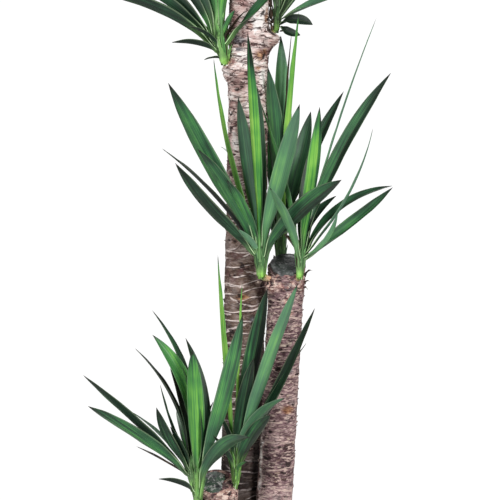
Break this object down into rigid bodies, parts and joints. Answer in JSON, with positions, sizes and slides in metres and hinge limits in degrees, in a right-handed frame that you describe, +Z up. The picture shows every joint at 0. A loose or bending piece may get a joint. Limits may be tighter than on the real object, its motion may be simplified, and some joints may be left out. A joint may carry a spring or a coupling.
{
  "type": "potted yucca",
  "caption": "Potted yucca with bare canes of different heights, wax-sealed tops and sword-leaved heads, in a plain tapered pot.",
  "frame": {"origin": "centre of the pot's flat underside", "axes": "+Z up along the canes, +X to the viewer's right, the viewer at -Y"},
  "size_m": [0.5596, 0.471, 1.552],
  "materials": {
    "pot_plastic": "moulded, satin",
    "potting_soil": "loose, damp, fibrous",
    "cane_bark": "rough bark with ring scars",
    "seal_wax": "dull grafting wax",
    "leaf_green": "leathery, waxy sheen"
  },
  "bodies": {
    "root": {"pot": "pot_plastic", "potting_soil": "potting_soil", "cane_tall": "cane_bark", "cane_medium": "cane_bark", "cane_low": "cane_bark", "wax_seal_tall": "seal_wax", "wax_seal_medium": "seal_wax", "wax_seal_low": "seal_wax", "head_medium_left": "leaf_green", "head_medium_right": "leaf_green", "head_medium_back": "leaf_green", "head_low_left": "leaf_green", "head_low_back": "leaf_green", "head_low_right": "leaf_green", "head_tall_left": "leaf_green", "head_tall_right": "leaf_green", "head_tall_back": "leaf_green"}
  },
  "joints": []
}
